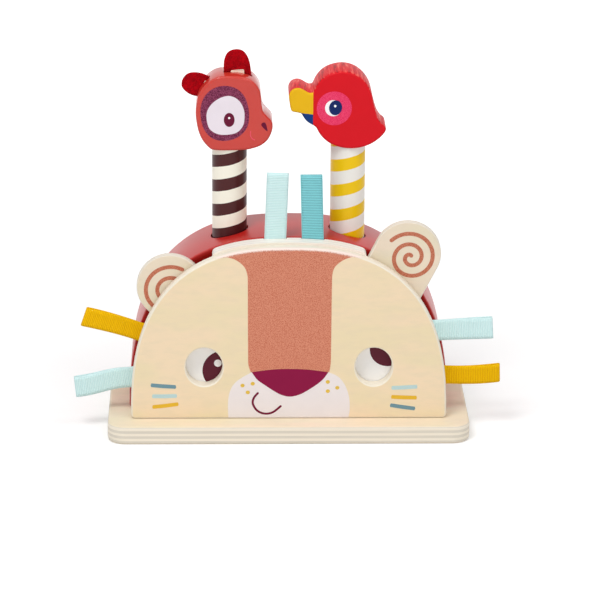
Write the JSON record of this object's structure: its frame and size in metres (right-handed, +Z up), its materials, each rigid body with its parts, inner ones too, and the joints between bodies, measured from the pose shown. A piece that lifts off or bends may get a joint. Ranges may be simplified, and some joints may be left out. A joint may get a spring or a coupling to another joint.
{
  "type": "pop-up animal toy",
  "caption": "Plywood animal face in front of a red arch block, with animal heads on sprung striped dowels, rocking ears, turning eyes and ribbon loops.",
  "frame": {"origin": "middle of the base board's underside, on the surface that the toy stands on", "axes": "+Z up; +X to the right of the face as seen from in front; the face looks along -Y"},
  "size_m": [0.3095, 0.112, 0.2749],
  "materials": {
    "plywood": "clear matt varnish over birch plywood, plies showing at the edges",
    "face_plywood": "clear matt varnish over pale maple-faced plywood with printed features",
    "block_paint": "glossy red paint",
    "beast_paint": "red paint with printed features",
    "bird_paint": "red paint with printed features",
    "brown_stripes": "satin paint, brown stripes wound on ivory",
    "yellow_stripes": "satin paint, yellow stripes wound on white",
    "disc_print": "white paint with a printed pupil",
    "bare_wood": "bare turned beech",
    "zinc_steel": "zinc-plated steel",
    "spring_steel": "drawn steel wire",
    "nylon": "natural nylon",
    "red_felt": "dense wool felt",
    "blue_ribbon": "ribbed woven ribbon",
    "teal_ribbon": "ribbed woven ribbon",
    "yellow_ribbon": "ribbed woven ribbon"
  },
  "bodies": {
    "frame": {"base_board": "plywood", "base_screws": "zinc_steel", "arch_block": "block_paint", "face_plate": "face_plywood", "top_spacer": "plywood", "left_spacer": "plywood", "right_spacer": "plywood", "spacer_pins": "bare_wood", "rocker_pin": "bare_wood", "rocker_washers": "nylon", "left_eye_pin": "bare_wood", "right_eye_pin": "bare_wood", "left_spring": "spring_steel", "right_spring": "spring_steel", "ribbon_top_blue": "blue_ribbon", "ribbon_top_teal": "teal_ribbon", "ribbon_left_yellow": "yellow_ribbon", "ribbon_left_blue": "blue_ribbon", "ribbon_right_blue": "blue_ribbon", "ribbon_right_yellow": "yellow_ribbon"},
    "ear_rocker": {"ear_rocker": "face_plywood"},
    "left_eye": {"left_eye_disc": "disc_print"},
    "right_eye": {"right_eye_disc": "disc_print"},
    "left_thrust": {"left_thrust_washer": "zinc_steel"},
    "right_thrust": {"right_thrust_washer": "zinc_steel"},
    "beast_plunger": {"left_dowel": "brown_stripes", "left_stop_disc": "bare_wood", "left_stop_screw": "zinc_steel", "beast_head": "beast_paint", "beast_top_ear": "red_felt", "beast_side_ear": "red_felt", "beast_ear_wedges": "bare_wood"},
    "bird_plunger": {"right_dowel": "yellow_stripes", "right_stop_disc": "bare_wood", "right_stop_screw": "zinc_steel", "bird_head": "bird_paint"}
  },
  "joints": [
    {"name": "ear_rock", "type": "hinge", "parent": "frame", "child": "ear_rocker", "pos_m": [0, -0.0253, 0.12], "axis": [0, 1, 0], "range_deg": [0, 16.4]},
    {"name": "left_eye_turn", "type": "hinge", "parent": "frame", "child": "left_eye", "pos_m": [-0.0609, -0.0279, 0.0531], "axis": [0, 1, 0], "continuous": true},
    {"name": "right_eye_turn", "type": "hinge", "parent": "frame", "child": "right_eye", "pos_m": [0.0609, -0.0279, 0.0531], "axis": [0, 1, 0], "continuous": true},
    {"name": "beast_press", "type": "slide", "parent": "frame", "child": "left_thrust", "axis": [0, 0, 1], "range_m": [-0.058, 0], "stiffness_N_per_m": 60, "springref_m": 0.05, "deforming": ["left_spring"]},
    {"name": "beast_turn", "type": "hinge", "parent": "left_thrust", "child": "beast_plunger", "pos_m": [-0.0425, 0.0105, 0.0884], "axis": [0, 0, 1], "continuous": true},
    {"name": "bird_press", "type": "slide", "parent": "frame", "child": "right_thrust", "axis": [0, 0, 1], "range_m": [-0.058, 0], "stiffness_N_per_m": 60, "springref_m": 0.05, "deforming": ["right_spring"]},
    {"name": "bird_turn", "type": "hinge", "parent": "right_thrust", "child": "bird_plunger", "pos_m": [0.0425, 0.0105, 0.0884], "axis": [0, 0, 1], "continuous": true}
  ]
}
